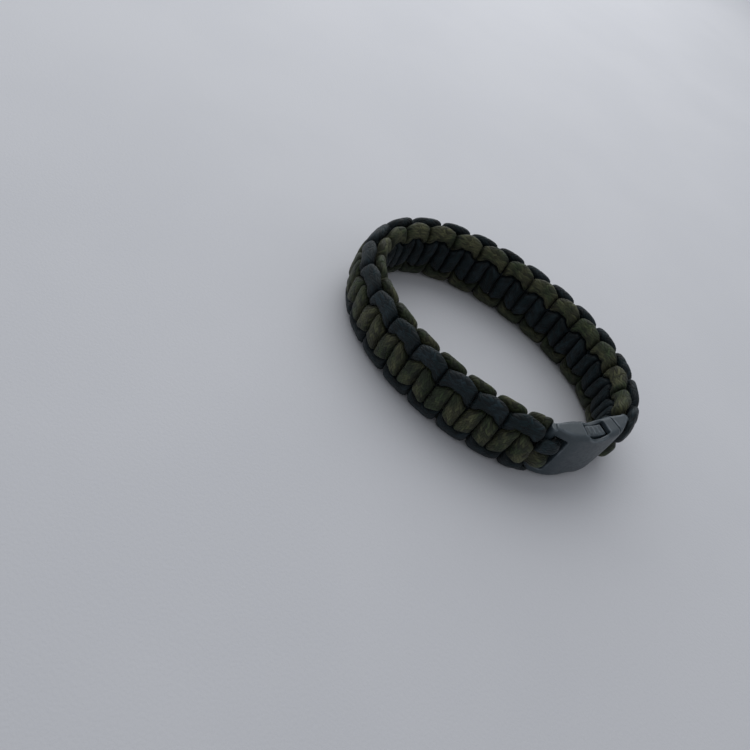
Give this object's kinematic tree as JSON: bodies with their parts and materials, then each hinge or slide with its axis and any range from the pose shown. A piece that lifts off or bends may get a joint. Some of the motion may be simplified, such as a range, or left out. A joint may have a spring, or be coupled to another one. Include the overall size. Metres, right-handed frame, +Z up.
{
  "type": "paracord bracelet",
  "caption": "Closed bracelet of cobra-woven olive and black paracord with a curved side-release buckle, lying on its side.",
  "frame": {"origin": "under the middle of the loop, on the surface that the bracelet lies on", "axes": "+Z up, across the band; +X along the loop's long axis, towards the end where the buckle is; +Y across the loop, away from the buckle's socket"},
  "size_m": [0.0886, 0.0634, 0.0192],
  "materials": {
    "olive_cord": "braided nylon sheath, muted olive green",
    "black_cord": "braided nylon sheath, blue-black with a soft sheen",
    "buckle_plastic": "moulded acetal, satin blue-grey"
  },
  "bodies": {
    "root": {"olive_cord": "olive_cord", "black_cord": "black_cord", "buckle_socket": "buckle_plastic", "buckle_plug": "buckle_plastic"}
  },
  "joints": []
}
